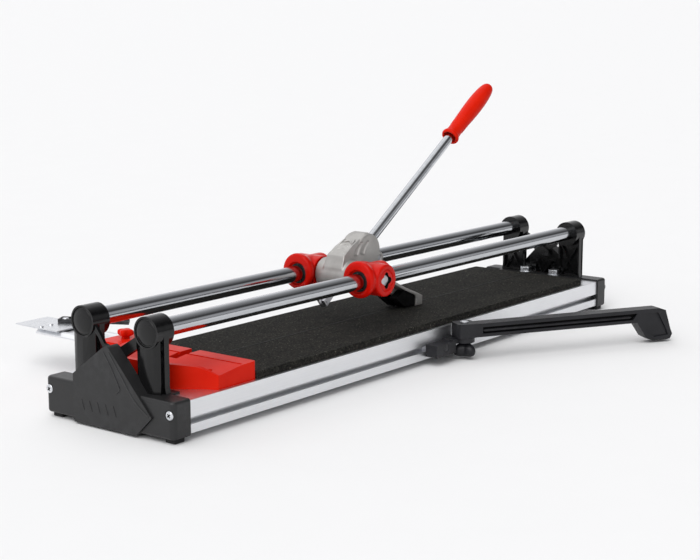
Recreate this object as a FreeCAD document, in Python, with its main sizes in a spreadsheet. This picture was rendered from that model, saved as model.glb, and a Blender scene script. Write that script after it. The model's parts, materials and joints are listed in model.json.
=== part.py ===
import FreeCAD, Part
import os
import re
import Sketcher

# Tile cutter: an aluminium base with rubber tile pads, two supports that carry a pair of
# guide bars, a carriage with a scoring and breaking lever, a swing arm in the side T-slot
# and a side rule.  X runs along the bars (front support at -X), +Z is up, and the origin
# is on the bench, midway between the supports.  Millimetres and degrees.

V = FreeCAD.Vector
doc = FreeCAD.newDocument("TileCutter")
sheet = doc.addObject("Spreadsheet::Sheet", "Dims")

SIZES = {
    # overall
    "base_length": 1116, "base_width": 240, "foot_height": 6.5, "deck_top": 53.5,
    "bar_height": 138.2, "bar_spacing": 119, "bar_dia": 25,
    "slip": 0.3, "running": 0.05,
    # base extrusion
    "side_inset": 2.5, "profile_bottom": 9.2, "skin": 3, "beam_width": 30,
    "slot_height": 26, "slot_mouth": 8.6, "slot_inner": 15, "slot_deep": 11, "slot_lip": 3,
    # pads and rib
    "pad_thick": 10.3, "pad_half": "=base_width / 2 - 8", "pad_back": "=base_length / 2 - 76",
    "rib_wide": 2.4, "rib_gap": 0.6, "rib_proud": 0.2,
    # supports
    "beam_top": "=deck_top + 3", "beam_deep": 28, "face_proud": 3.5, "corner": 8,
    "flange_deep": 46, "flange_half": "=bar_spacing / 2 + 24.5", "socket_dia": "=bar_dia + 18.5",
    "socket_front": 11, "socket_back": 41, "cap_dia": "=bar_dia + 13", "cap_thick": 4,
    "socket_at": "=bar_height - 2",
    "slab_half": "=bar_dia / 2 + 9", "slab_front": 11.2, "slab_back": 31, "slab_wall": 3,
    "plate_proud": 6.5, "plate_back": 14.2, "plate_low": 3, "rib_thick": 2.6,
    "foot_long": 18, "foot_wide": 18, "foot_side": "=base_width / 2 - 14",
    "screw_side": "=base_width / 2 - 7.5", "screw_high": "=beam_top - 17.5",
    "screw_head": 12.4, "screw_shank": 5,
    "bolt_side": "=bar_spacing / 2 - 29.5", "bolt_deep": 31, "bolt_dia": 10,
    "bolt_flats": 18, "bolt_head": 8, "washer_dia": 23, "washer_thick": 2,
    # front stop
    "stop_back": "=base_length / 2 - 165", "stop_front": "=base_length / 2 - 90",
    "stop_nose": "=base_length / 2 - 46", "stop_half": "=base_width / 2 - 9",
    "stop_top": "=deck_top + 25.5", "stop_lip": "=deck_top + 33", "stop_slot": 16,
    "stop_groove": "=base_length / 2 - 138", "groove_wide": 4, "groove_deep": 4,
    "stop_screw": 4, "stop_head": 8.4,
    # carriage
    "hub_at": -67, "housing_front": 37.5, "housing_back": 27, "flare_dia": "=bar_dia + 32",
    "flare_rise": 3, "waist_dia": "=bar_dia + 20", "mouth_dia": "=bar_dia + 11",
    "mouth_deep": 4, "boss_dia": 50, "boss_reach": 28, "boss_recess": 32, "recess_deep": 9,
    "inner_half": "=bar_spacing / 2 - bar_dia / 2 - 11", "bush_dia": "=bar_dia + 6", "bush_long": 20,
    "wiper_thick": 3.2,
    "shaft_dia": 20, "shaft_half": "=inner_half + 7", "seal_dia": 38, "seal_thick": 2.5,
    # lever
    "hub_dia": 48, "hub_half": "=inner_half - 3", "sleeve_dia": 25, "handle_lean": 33.7,
    "handle_drop": 3, "rod_dia": 16, "rod_start": 20, "rod_end": 384, "grip_start": 352,
    "grip_end": 496, "grip_dia": 29, "lever_top": "=bar_height + 61",
    "crown_half": "=hub_half - 20", "neck_half": "=hub_half - 15", "cheek_dia": 58,
    # scoring wheel
    "wheel_lean": 38, "wheel_arm": 55, "wheel_dia": 22, "wheel_thick": 3.2, "axle_dia": 6,
    "holder_half": 7, "holder_gap": 4.6,
    # breaker foot
    "foot_pin_x": "=hub_at + 75", "foot_pin_z": "=bar_height + 17.8", "pin_dia": 8,
    "pin_half": "=neck_half - 1", "breaker_gap": 15, "breaker_reach": "=hub_at + 189",
    "breaker_wide": 40, "shell": 4.5,
    # swing arm
    "arm_x": 68, "arm_y": "=-base_width / 2 - 19", "arm_turn": -30, "arm_long": 374,
    "arm_top": "=deck_top + 4", "arm_tall": 21.5, "arm_wide": 24, "knuckle_dia": 33,
    "knuckle_top": "=arm_top + 0.5", "knuckle_low": "=arm_top - 22", "paddle_low": 4,
    "pivot_dia": 10, "knob_dia": 40, "wing_thick": 11, "wing_turn": 20,
    "clamp_long": 52, "clamp_wide": 22, "clamp_bolt_dia": 6,
    # side rule
    "rule_at": "=187 - base_length / 2", "rule_wide": 52, "rule_low": "=deck_top + 4.5",
    "rule_thick": 7.5, "rule_start": "=base_width / 2 + 1", "rule_end": "=base_width / 2 + 210",
    "end_plate": 2, "plate_end": "=rule_end + 46", "guide_end": "=base_width / 2 + 64",
    "guide_tall": 3.5, "knob_at": "=base_width / 2 + 42", "lock_dia": 8,
    "mitre_x": "=rule_at + 30", "mitre_y": "=rule_end - 5", "mitre_turn": -61,
    "mitre_long": 104, "mitre_wide": 22, "mitre_tall": 5.4, "mitre_end": 9, "mitre_pin": 6,
}

for row, (alias, value) in enumerate(SIZES.items(), start=1):
    sheet.set("A%d" % row, alias)
    sheet.set("B%d" % row, str(value))
    sheet.setAlias("B%d" % row, alias)
doc.recompute()

# The turns that lay a thing's own Z axis along each row axis.
ALONG = {
    "x": FreeCAD.Rotation(V(0, 1, 0), 90),
    "y": FreeCAD.Rotation(V(1, 0, 0), -90),
    "z": FreeCAD.Rotation(),
}
# The turns that point it inward from the front (-1) and from the rear (1) support.
INWARD = {"-1": ALONG["x"], "1": FreeCAD.Rotation(V(0, 1, 0), -90)}
# The turn that lays a sketch in each plane; its normal is the extrusion's direction.
FACING = {
    "x": FreeCAD.Rotation(90, 0, 90),
    "y": FreeCAD.Rotation(V(1, 0, 0), 90),
    "z": FreeCAD.Rotation(),
}


def from_sheet(formula):
    """Point the sizes in a formula at the sheet."""
    def lookup(word):
        return "Dims." + word.group(0) if word.group(0) in SIZES else word.group(0)
    return re.sub(r"[a-z_]+", lookup, str(formula))


def bind(thing, slot, formula):
    thing.setExpression(slot, from_sheet(formula))


def place(thing, at, turn=None):
    """Put a thing at a point given as three formulas."""
    if turn is not None:
        thing.Placement = FreeCAD.Placement(V(), turn)
    for axis, formula in zip("xyz", at):
        bind(thing, ".Placement.Base." + axis, formula)
    return thing


def block(low, high):
    """Box between two corners, each three formulas."""
    box = doc.addObject("Part::Box", "Block")
    for slot, near, far in zip(("Length", "Width", "Height"), low, high):
        bind(box, slot, "(%s) - (%s)" % (far, near))
    return place(box, low)


def rod(axis, at, dia, length):
    """Cylinder along a row axis from its starting point."""
    cylinder = doc.addObject("Part::Cylinder", "Rod")
    bind(cylinder, "Radius", "(%s) / 2" % dia)
    bind(cylinder, "Height", length)
    return place(cylinder, at, ALONG[axis])


def draw(sketch, points):
    """Closed outline whose corners are all held by formulas."""
    count = len(points)
    for index in range(count):
        corner = V(index + 1, (index * index) % 7, 0)
        sketch.addGeometry(Part.LineSegment(corner, corner + V(1, 1, 0)))
    for index in range(count):
        sketch.addConstraint(Sketcher.Constraint("Coincident", index, 2, (index + 1) % count, 1))
    for index, point in enumerate(points):
        for kind, formula in zip(("DistanceX", "DistanceY"), point):
            held = sketch.addConstraint(Sketcher.Constraint(kind, -1, 1, index, 1, 1.0))
            bind(sketch, "Constraints[%d]" % held, formula)


def prism(axis, points, start, end):
    """Outline extruded along an axis.  The outline is drawn in YZ, XZ or XY."""
    sketch = doc.addObject("Sketcher::SketchObject", "Outline")
    draw(sketch, points)
    sketch.Placement = FreeCAD.Placement(V(), FACING[axis])
    forward = start if axis != "y" else end
    bind(sketch, ".Placement.Base." + axis, forward)
    solid = doc.addObject("Part::Extrusion", "Prism")
    solid.Base = sketch
    solid.DirMode = "Normal"
    solid.Solid = True
    bind(solid, "LengthFwd", "(%s) - (%s)" % (end, start))
    return solid


def turned(label, points, at=(0, 0, 0), turn=None):
    """Body turned about its own Z axis from an outline of radius and height."""
    body = doc.addObject("PartDesign::Body", "Turned")
    sketch = body.newObject("Sketcher::SketchObject", "Section")
    plane = [item for item in body.Origin.OriginFeatures if item.Role == "XZ_Plane"][0]
    sketch.AttachmentSupport = (plane, [""])
    sketch.MapMode = "FlatFace"
    draw(sketch, points)
    turning = body.newObject("PartDesign::Revolution", "Turning")
    turning.Profile = sketch
    turning.ReferenceAxis = (sketch, ["V_Axis"])
    turning.Angle = 360
    place(body, at, turn)
    return named(label, body) if label else body


def fuse(*solids):
    joined = doc.addObject("Part::MultiFuse", "Joined")
    joined.Shapes = list(solids)
    joined.Refine = True
    return joined


def cut(base, *tools):
    """Base less one or more tools."""
    less = doc.addObject("Part::Cut", "Less")
    less.Base = base
    less.Tool = tools[0] if len(tools) == 1 else fuse(*tools)
    less.Refine = True
    return less


def common(first, second):
    shared = doc.addObject("Part::Common", "Shared")
    shared.Base = first
    shared.Tool = second
    return shared


def group(*solids):
    """Separate solids that share one node."""
    together = doc.addObject("Part::Compound", "Together")
    together.Links = list(solids)
    return together


def size(alias):
    return float(sheet.get(alias))


def rounded(base, radius, chosen):
    """Fillet the straight or curved edges that a test picks."""
    doc.recompute()
    fillet = doc.addObject("Part::Fillet", "Rounded")
    fillet.Base = base
    edges = []
    for index, edge in enumerate(base.Shape.Edges, start=1):
        if chosen(edge):
            edges.append((index, radius, radius))
    fillet.Edges = edges
    return fillet


def runs_along(edge, axis, least=1.0):
    """True for a straight edge parallel to an axis."""
    if edge.Curve.TypeId != "Part::GeomLine" or edge.Length < least:
        return False
    along = edge.tangentAt(edge.FirstParameter)
    return abs(abs(along.dot(axis)) - 1) < 1e-6


SUBPARTS = []


def named(label, thing):
    """Mark a finished sub-part: its label names its file."""
    thing.Label = label
    SUBPARTS.append(thing)
    return thing


HALF = "base_length / 2"
DECK_END = HALF + " - beam_deep"
PAD_TOP = "(deck_top + pad_thick)"


# ---------------------------------------------------------------- base

def base_profile():
    side = "(base_width / 2 - side_inset)"
    ends = ("-(%s)" % DECK_END, DECK_END)
    solid = block((ends[0], "-" + side, "profile_bottom"), (ends[1], side, "deck_top"))
    inner = "(%s - beam_width)" % side
    spine = "(rib_wide * 3)"
    hollows = [
        block((ends[0], "-" + inner, "profile_bottom"), (ends[1], "-" + spine, "deck_top - skin")),
        block((ends[0], spine, "profile_bottom"), (ends[1], inner, "deck_top - skin")),
    ]
    half, wide = "slot_mouth / 2", "slot_inner / 2"
    for sign in ("-1", "1"):
        face = "%s * %s" % (sign, side)
        back = "%s * (%s - slot_deep)" % (sign, side)
        lip = "%s * (%s - slot_lip)" % (sign, side)
        web = "%s * (%s - slot_deep - skin)" % (sign, side)
        far = "%s * (%s + skin)" % (sign, inner)
        slot = [
            (face, "slot_height - " + half), (lip, "slot_height - " + half),
            (lip, "slot_height - " + wide), (back, "slot_height - " + wide),
            (back, "slot_height + " + wide), (lip, "slot_height + " + wide),
            (lip, "slot_height + " + half), (face, "slot_height + " + half),
        ]
        hollows.append(prism("x", slot, *ends))
        room = [(web, "profile_bottom + skin"), (far, "profile_bottom + skin"),
                (far, "deck_top - skin"), (web, "deck_top - skin")]
        hollows.append(prism("x", room, *ends))
    named("base_profile", cut(solid, *hollows))


def rib_and_pads():
    named("breaking_rib", block(
        ("-stop_back + slip", "-rib_wide / 2", "deck_top"),
        (DECK_END + " - flange_deep + beam_deep - slip", "rib_wide / 2", PAD_TOP + " + rib_proud")))
    for side, sign in (("near", "-1"), ("far", "1")):
        inner = "%s * (rib_wide / 2 + rib_gap)" % sign
        outer = "%s * pad_half" % sign
        outline = [(inner, "deck_top"), (outer, "deck_top"), (outer, PAD_TOP), (inner, PAD_TOP)]
        named("tile_pad_" + side, prism("x", outline, "-stop_back + slip", "pad_back"))


def deep(distance):
    """X at a distance behind the front support's face."""
    return "(%s) - base_length / 2" % distance


def across(share, rise):
    """A point in the support's YZ plane, as shares of the half bar spacing and of the
    height between the beam's top and the bars."""
    return ("%s * bar_spacing / 2" % share, "beam_top + %s * (bar_height - beam_top)" % rise)


def cross_beam():
    """The beam under both uprights, its outer corners and edges rounded."""
    beam = block((deep("-face_proud"), "-base_width / 2", "foot_height"),
                 (deep("beam_deep"), "base_width / 2", "beam_top"))
    face = -size("base_length") / 2
    beam = rounded(beam, size("corner"), lambda edge: runs_along(edge, V(0, 0, 1))
                   and edge.BoundBox.XMin < face)
    side = size("base_width") / 2 - 0.1
    return rounded(beam, size("corner") / 2, lambda edge: edge.BoundBox.ZLength < 0.1
                   and (edge.BoundBox.XMin < face - 0.1
                        or runs_along(edge, V(1, 0, 0)) and abs(edge.BoundBox.YMin) > side))


def upright(axis):
    """Post with a bowed front, a groove down each side, an open back with crossed braces,
    and the socket on top."""
    foot, shoulder = "(beam_top - 1)", "bar_height"
    low, high = "(beam_top + 4)", "(bar_height - 25)"
    front_half = [("slab_front", "0"), ("slab_front + 0.8", "slab_half - 9"),
                  ("slab_front + 4", "slab_half - 1"), ("slab_front + 5", "slab_half - 1"),
                  ("slab_front + 6.2", "slab_half - 4"), ("slab_front + 10", "slab_half - 4"),
                  ("slab_front + 11", "slab_half"), ("slab_back", "slab_half")]
    section = [(deep(back), "%s + %s" % (axis, aside)) for back, aside in front_half]
    section += [(deep(back), "%s - (%s)" % (axis, aside)) for back, aside in front_half[:0:-1]]
    inner = "(slab_half - slab_wall)"
    hollow = [(axis + " - " + inner, low), (axis + " + " + inner, low),
              (axis + " + " + inner, high), (axis + " - " + inner, high)]
    pocket = prism("x", hollow, deep("slab_front + 13.5"), deep("slab_back + 1"))
    parts = [cut(prism("z", section, foot, shoulder), pocket)]
    for lean in ("-1", "1"):
        foot_y = "%s - %s * (slab_half - 5)" % (axis, lean)
        head_y = "%s + %s * (slab_half - 5)" % (axis, lean)
        brace = [(foot_y + " - rib_thick / 2", low + " - 1"),
                 (foot_y + " + rib_thick / 2", low + " - 1"),
                 (head_y + " + rib_thick / 2", high + " + 1"),
                 (head_y + " - rib_thick / 2", high + " + 1")]
        parts.append(prism("x", brace, deep("slab_front + 12.5"), deep("slab_back - 1")))
    skirt = [(axis + " - slab_half - 2", foot), (axis + " + slab_half + 2", foot),
             (axis + " + slab_half - 1", "beam_top + 14"), (axis + " - slab_half + 1", "beam_top + 14")]
    parts.append(cut(prism("x", skirt, deep("slab_front + 11"), deep("slab_back")), pocket))
    parts.append(rod("x", (deep("socket_front"), axis, "socket_at"), "socket_dia",
                     "socket_back - socket_front"))
    return parts


def centre_plate():
    """Front plate, the fin up to one socket, the strut to the other, a web and three ribs."""
    side = "bar_spacing / 2 + 2"
    plate = [(side, "plate_low"), (side, "beam_top + 12.5"), across(0.07, 0.667),
             across(-0.05, 0.71), across(-0.14, 0.68), ("-base_width / 2 + 36", "beam_top / 2 + 3"),
             ("-base_width / 2 + 66", "plate_low")]
    fin = [across(0.82, 0.94), across(0.53, 0.76), across(0.41, 0.62), across(0.05, 0.5),
           across(0.05, 0.62), across(0.34, 0.67), across(0.46, 0.8), across(0.8, 1.1)]
    strut = [across(-0.67, 0.887), across(-0.67, 0.679), across(-0.03, 0.398),
             across(0.2, 0.398), across(0.2, 0.508)]
    web = [across(-0.25, -0.02), across(-0.7, -0.02), across(-0.7, 0.17), across(-0.25, 0.245)]
    parts = [prism("x", plate, deep("-plate_proud"), deep("plate_back")),
             prism("x", fin, deep("slab_front + 1.9"), deep("plate_back + 3.3")),
             prism("x", strut, deep("plate_back - 1"), deep("slab_front + 10.4")),
             prism("x", web, deep("plate_back - 1"), deep("slab_front + 9.6"))]
    for foot, head in ((0.57, 0.2), (0, 0.336), (0, -0.235)):
        (foot_y, low), (head_y, high) = across(foot, -0.02), across(head, 0.294)
        rib = [(foot_y + " - rib_thick / 2", low), (foot_y + " + rib_thick / 2", low),
               (head_y + " + rib_thick / 2", high), (head_y + " - rib_thick / 2", high)]
        parts.append(prism("x", rib, deep("plate_back - 1"), deep("plate_back + 8")))
    return parts


def support(label, about):
    """One moulded support, made at the front and turned about Z for the rear."""
    parts = [cross_beam(), block((deep("beam_deep - 1"), "-flange_half", "deck_top"),
                                 (deep("flange_deep"), "flange_half", "beam_top"))]
    parts += centre_plate()
    bores = []
    for sign in ("-1", "1"):
        axis = "%s * bar_spacing / 2" % sign
        parts += upright(axis)
        long = "socket_back - socket_front"
        bores.append(rod("x", (deep("socket_front + cap_thick"), axis, "bar_height"),
                         "bar_dia", long))
        bores.append(rod("x", (deep("socket_front - 1"), axis, "socket_at"),
                         "cap_dia", "cap_thick + 1"))
        screw = (deep("-face_proud - 1"), "%s * screw_side" % sign, "screw_high")
        bores.append(rod("x", screw, "screw_head + 1.4", "2.2"))
        bores.append(rod("x", screw, "screw_shank", "beam_deep + face_proud + 2"))
        bolt = (deep("bolt_deep"), "%s * bolt_side" % sign)
        bores.append(rod("z", bolt + ("deck_top - 2",), "bolt_dia", "40"))
        bores.append(rod("z", bolt + ("beam_top",), "washer_dia + 1", "bolt_head * 4"))
    whole = cut(fuse(*parts), *bores)
    if about:
        whole.Placement = FreeCAD.Placement(V(), FreeCAD.Rotation(V(0, 0, 1), 180))
    named(label, whole)


def bar_caps():
    """Slightly domed caps that close the four sockets."""
    rim = "cap_dia / 2"
    dome = [("0", "-1.6"), (rim + " * 0.55", "-1.1"), (rim + " * 0.86", "0.2"), (rim, "1.2"),
            (rim, "cap_thick"), ("0", "cap_thick")]
    for end, sign in (("front", "-1"), ("rear", "1")):
        for side, aside in (("near", "-1"), ("far", "1")):
            at = ("%s * (%s - socket_front)" % (sign, HALF), "%s * bar_spacing / 2" % aside,
                  "socket_at")
            turned("%s_cap_%s" % (end, side), dome, at, INWARD[sign])


def support_fittings():
    """Feet, cross-head screws, hex bolts and washers of both supports."""
    feet, screws, bolts, washers = [], [], [], []
    radius = "screw_head / 2"
    head = [("0", "-0.9"), (radius + " * 0.7", "-0.6"), (radius, "0.2"), (radius, "1.2"),
            ("screw_shank / 2", "1.2"), ("screw_shank / 2", "beam_deep"), ("0", "beam_deep")]
    outward = "%s * (" + HALF + " + face_proud)"
    for sign in ("-1", "1"):
        for aside in ("-1", "1"):
            face = "%s * (%s)" % (sign, HALF)
            low_x = "%s - foot_long / 2 - %s * (foot_long / 2 + 4)" % (face, sign)
            low_y = "%s * foot_side - foot_wide / 2 " % aside
            foot = block((low_x, low_y, "0"),
                         (low_x + " + foot_long", low_y + " + foot_wide", "foot_height"))
            feet.append(rounded(foot, 2.0, lambda edge: runs_along(edge, V(0, 0, 1))))
            screws.append(turned(None, head, (outward % sign, "%s * screw_side" % aside,
                                              "screw_high"), INWARD[sign]))
            bolt_x = "%s * (%s - bolt_deep)" % (sign, HALF)
            bolt_y = "%s * bolt_side" % aside
            washer = rod("z", (bolt_x, bolt_y, "beam_top"), "washer_dia", "washer_thick")
            hole = rod("z", (bolt_x, bolt_y, "beam_top - 1"), "bolt_dia", "washer_thick + 2")
            washers.append(cut(washer, hole))
            hexagon = doc.addObject("Part::Prism", "Hexagon")
            hexagon.Polygon = 6
            bind(hexagon, "Circumradius", "bolt_flats / 2 / cos(30)")
            bind(hexagon, "Height", "bolt_head")
            place(hexagon, (bolt_x, bolt_y, "beam_top + washer_thick"))
            shank = rod("z", (bolt_x, bolt_y, "deck_top"), "bolt_dia",
                        "beam_top - deck_top + washer_thick + 1")
            bolts.append(fuse(hexagon, shank))
    named("support_feet", group(*feet))
    named("support_screws", group(*screws))
    named("hold_down_washers", group(*washers))
    named("hold_down_bolts", group(*bolts))


def guide_bars():
    for side, sign in (("near", "-1"), ("far", "1")):
        reach = "(%s - socket_front - cap_thick)" % HALF
        start = ("-" + reach, "%s * bar_spacing / 2" % sign, "bar_height")
        named("guide_bar_" + side, rod("x", start, "bar_dia", "2 * " + reach))


def front_stop():
    """Block across the deck: nose with a raised lip round a dished top, centre slot, groove
    and two screws."""
    nose = [("-stop_back", "-stop_half"), ("-stop_front", "-stop_half"),
            ("-stop_front - 12", "-stop_half + 22"), ("-stop_front - 32", "-stop_half + 47"),
            ("-stop_nose", "-stop_half / 4"), ("-stop_nose", "stop_half / 4"),
            ("-stop_front - 32", "stop_half - 47"), ("-stop_front - 12", "stop_half - 22"),
            ("-stop_front", "stop_half"), ("-stop_back", "stop_half")]
    solid = prism("z", nose, "deck_top", "stop_lip + 1")
    solid = rounded(solid, 4.0, lambda edge: runs_along(edge, V(0, 0, 1))
                    and edge.BoundBox.YLength < 0.1
                    and abs(edge.BoundBox.YMin) > size("stop_half") - 1)
    rise = [("-stop_half - 1", "stop_lip + 2"), ("-stop_half - 1", "stop_top - 7"),
            ("-stop_half + 12", "stop_top - 1"), ("-stop_half + 26", "stop_lip - 3"),
            ("-stop_half + 47", "stop_lip")]
    arch = rise + [("-(%s)" % aside, high) for aside, high in rise[::-1]]
    solid = cut(solid, prism("x", arch, "-stop_nose - 1", "-stop_front + 5"))
    dish = [("-stop_back + 1", "-stop_half - 1"), ("-stop_front + 4", "-stop_half - 1"),
            ("-stop_front + 2", "-stop_half + 2"), ("-stop_front - 5", "-stop_half + 23"),
            ("-stop_front - 24", "-stop_half + 50"), ("-stop_nose + 8", "-stop_half / 4")]
    dish += [(back, "-(%s)" % aside) for back, aside in dish[::-1]]
    fall = [("-stop_back + 1", "stop_lip + 2"), ("-stop_back + 1", "stop_top"),
            ("-stop_groove", "stop_top - 0.6"), ("-stop_front + 2", "stop_top - 6.6"),
            ("-stop_nose - 1", "stop_top - 5"), ("-stop_nose - 1", "stop_lip + 2")]
    tools = [common(prism("z", dish, "deck_top", "stop_lip + 2"),
                    prism("y", fall, "-stop_half - 2", "stop_half + 2")),
             block(("-stop_groove - 20", "-stop_slot / 2", "deck_top + 8"),
                   ("-stop_back + 1", "stop_slot / 2", "stop_top + 1"))]
    screws = []
    seat = "(stop_top - deck_top - 9)"
    outline = [("0", "0"), ("stop_screw / 2", "0"), ("stop_screw / 2", seat),
               ("stop_head / 2", seat), ("stop_head / 2", seat + " + 1.4"), ("0", seat + " + 1.8")]
    for sign in ("-1", "1"):
        start = "%s * (stop_half / 2 + 2) - stop_half * 0.45" % sign
        tools.append(block(("-stop_groove", start, "stop_top - groove_deep"),
                           ("-stop_groove + groove_wide", start + " + stop_half * 0.9",
                            "stop_top + 1")))
        at = ("-stop_front + 12", "%s * (stop_half - 27)" % sign)
        tools.append(rod("z", at + ("deck_top",), "stop_screw", "stop_top"))
        tools.append(rod("z", at + ("stop_top - 9",), "stop_head + 0.6", "10"))
        screws.append(turned(None, outline, at + ("deck_top",)))
    named("front_stop", cut(solid, *tools))
    named("stop_screws", group(*screws))


# ---------------------------------------------------------------- carriage

def housing(side, sign):
    """Tube on one guide bar, flared at its front, and the boss that carries the cross shaft."""
    axis = "%s * bar_spacing / 2" % sign
    flare, waist = "flare_dia / 2", "waist_dia / 2"
    outline = [("0", "-housing_front"), (flare + " - 4", "-housing_front"),
               (flare + " - 1", "-housing_front + 1.5"), (flare, "-housing_front + 4.5"),
               (flare + " - 0.4", "-housing_front + 9"), (flare + " - 2.5", "-housing_front + 13"),
               (waist, "-housing_front + 19"), (waist, "housing_back - 3"),
               (waist + " - 3", "housing_back"), ("0", "housing_back")]
    tube = turned(None, outline, ("hub_at", axis, "bar_height + flare_rise"), ALONG["x"])
    outer = "%s * (bar_spacing / 2 + boss_reach)" % sign
    inner = "%s * inner_half" % sign
    low, high = (outer, inner) if sign == "-1" else (inner, outer)
    boss = rod("y", ("hub_at", low, "bar_height"), "boss_dia", "(%s) - (%s)" % (high, low))
    boss = rounded(boss, 3.5, lambda edge: edge.Curve.TypeId == "Part::GeomCircle"
                   and abs(edge.BoundBox.YMin) > size("bar_spacing") / 2)
    bore = rod("x", ("hub_at - 2 * housing_front", axis, "bar_height"), "bush_dia",
               "4 * housing_front")
    mouth = rod("x", ("hub_at - housing_front - 1", axis, "bar_height"), "mouth_dia",
                "mouth_deep + 1")
    seat = "-shaft_half" if sign == "-1" else inner + " - 1"
    socket = rod("y", ("hub_at", seat, "bar_height"), "shaft_dia", "shaft_half - inner_half + 1")
    floor = outer + (" - 1" if sign == "-1" else " - recess_deep")
    recess = rod("y", ("hub_at", floor, "bar_height"), "boss_recess", "recess_deep + 1")
    named("housing_" + side, cut(fuse(tube, boss), bore, mouth, socket, recess))


def ring(axis, at, outer, inner, thick):
    """Flat ring: at is its starting point, as for a rod."""
    index = "xyz".index(axis)
    start = list(at)
    start[index] = "%s - 1" % start[index]
    return cut(rod(axis, at, outer, thick), rod(axis, start, inner, thick + " + 2"))


def carriage():
    bushes, wipers, screws, seals = [], [], [], []
    screw = [("0", "0"), ("8", "0"), ("8.6", "0.6"), ("8.6", "4"), ("6", "5"), ("0", "5")]
    for side, sign in (("near", "-1"), ("far", "1")):
        housing(side, sign)
        axis = "%s * bar_spacing / 2" % sign
        front = "(hub_at - housing_front + mouth_deep)"
        back = "(hub_at + housing_back - wiper_thick - slip)"
        for start in (front + " + wiper_thick", back + " - bush_long"):
            bushes.append(ring("x", (start, axis, "bar_height"), "bush_dia",
                               "bar_dia + 2 * running", "bush_long"))
        for start in (front, back):
            wipers.append(ring("x", (start, axis, "bar_height"), "bush_dia",
                               "bar_dia + 2 * slip", "wiper_thick"))
        floor = "%s * (bar_spacing / 2 + boss_reach - recess_deep)" % sign
        seal = "-inner_half"
        turn, start = ALONG["y"], floor + " - 5"
        if sign == "1":
            seal = "inner_half - seal_thick"
            turn, start = FreeCAD.Rotation(V(1, 0, 0), 90), floor + " + 5"
        screws.append(turned(None, screw, ("hub_at", start, "bar_height"), turn))
        seals.append(ring("y", ("hub_at", seal, "bar_height"), "seal_dia", "shaft_dia",
                          "seal_thick"))
    named("bar_bushes", group(*bushes))
    named("bar_wipers", group(*wipers))
    named("boss_screws", group(*screws))
    named("hub_seals", group(*seals))
    named("cross_shaft", rod("y", ("hub_at", "-shaft_half", "bar_height"), "shaft_dia",
                             "2 * shaft_half"))


# ---------------------------------------------------------------- lever

def lever_body():
    """Plain hub, a neck that narrows to its crown, a round cheek and the foot pin's eye."""
    side_view = [
        ("hub_at - hub_dia / 2 + 1", "bar_height"), ("hub_at - hub_dia / 2 + 2", "bar_height + 14"),
        ("hub_at - 14", "lever_top - 29"), ("hub_at + 6", "lever_top - 17"),
        ("hub_at + 30", "lever_top - 7"), ("hub_at + 42", "lever_top - 1"),
        ("hub_at + 50", "lever_top"), ("hub_at + 60", "lever_top - 4"),
        ("hub_at + 70", "lever_top - 15"), ("hub_at + 76", "lever_top - 30"),
        ("hub_at + 76", "foot_pin_z - 10"), ("hub_at + 20", "bar_height - 12"),
        ("hub_at + 8", "bar_height - hub_dia / 2 + 1"),
        ("hub_at - 10", "bar_height - hub_dia / 2 + 2"),
    ]
    front_view = [("-neck_half - 2", "bar_height - hub_dia"), ("neck_half + 2", "bar_height - hub_dia"),
                  ("neck_half", "bar_height + 24"), ("crown_half", "lever_top + 1"),
                  ("-crown_half", "lever_top + 1"), ("-neck_half", "bar_height + 24")]
    web = prism("y", side_view, "-hub_half", "hub_half")
    taper = prism("x", front_view, "hub_at - hub_dia", "hub_at + 120")
    hub = rod("y", ("hub_at", "-hub_half", "bar_height"), "hub_dia", "2 * hub_half")
    cheek = rod("y", ("hub_at + 48", "-neck_half + 1", "lever_top - 31"), "cheek_dia",
                "2 * neck_half - 2")
    eye = rod("y", ("foot_pin_x", "-neck_half", "foot_pin_z"), "pin_dia * 2.4", "2 * neck_half")
    return fuse(hub, common(web, taper), cheek, eye)


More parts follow.
